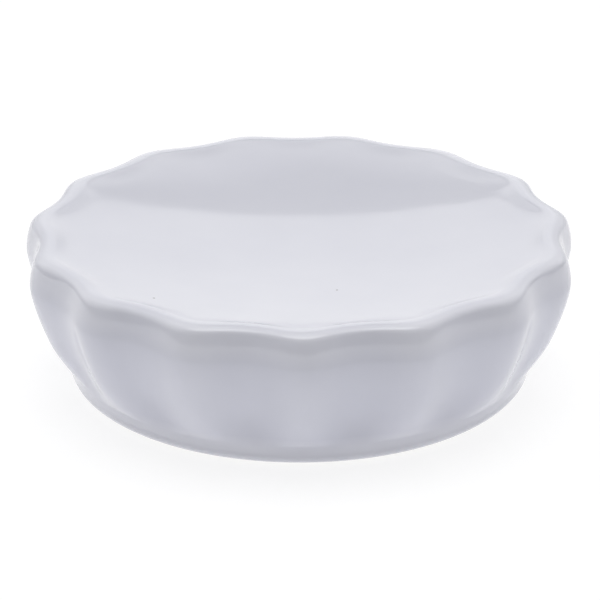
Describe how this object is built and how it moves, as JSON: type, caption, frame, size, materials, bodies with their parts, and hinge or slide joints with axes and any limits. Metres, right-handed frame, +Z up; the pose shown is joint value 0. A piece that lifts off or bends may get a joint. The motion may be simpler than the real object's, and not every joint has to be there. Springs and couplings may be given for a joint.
{
  "type": "soap dish",
  "caption": "Round white glazed ceramic soap dish with fluted sides, scalloped rim, shallow basin, soft feet and a removable plug in its hollow base.",
  "frame": {"origin": "on the table under the middle of the dish, in the plane of the feet", "axes": "+Z up out of the basin; -Y towards the viewer of the picture, where one ridge of the fluted wall points; +X to that viewer's right"},
  "size_m": [0.1194, 0.1189, 0.0337],
  "materials": {
    "white_glaze": "gloss",
    "plug_rubber": "matte",
    "foot_rubber": "matte",
    "adhesive": "matte"
  },
  "bodies": {
    "dish": {"ceramic_body": "white_glaze", "foot_1": "foot_rubber", "foot_2": "foot_rubber", "foot_3": "foot_rubber", "foot_4": "foot_rubber", "foot_adhesive_1": "adhesive", "foot_adhesive_2": "adhesive", "foot_adhesive_3": "adhesive", "foot_adhesive_4": "adhesive"},
    "plug": {"vent_plug": "plug_rubber"}
  },
  "joints": [
    {"name": "plug_pull", "type": "slide", "parent": "dish", "child": "plug", "axis": [0, 0, -1], "range_m": [0, 0.012]}
  ]
}
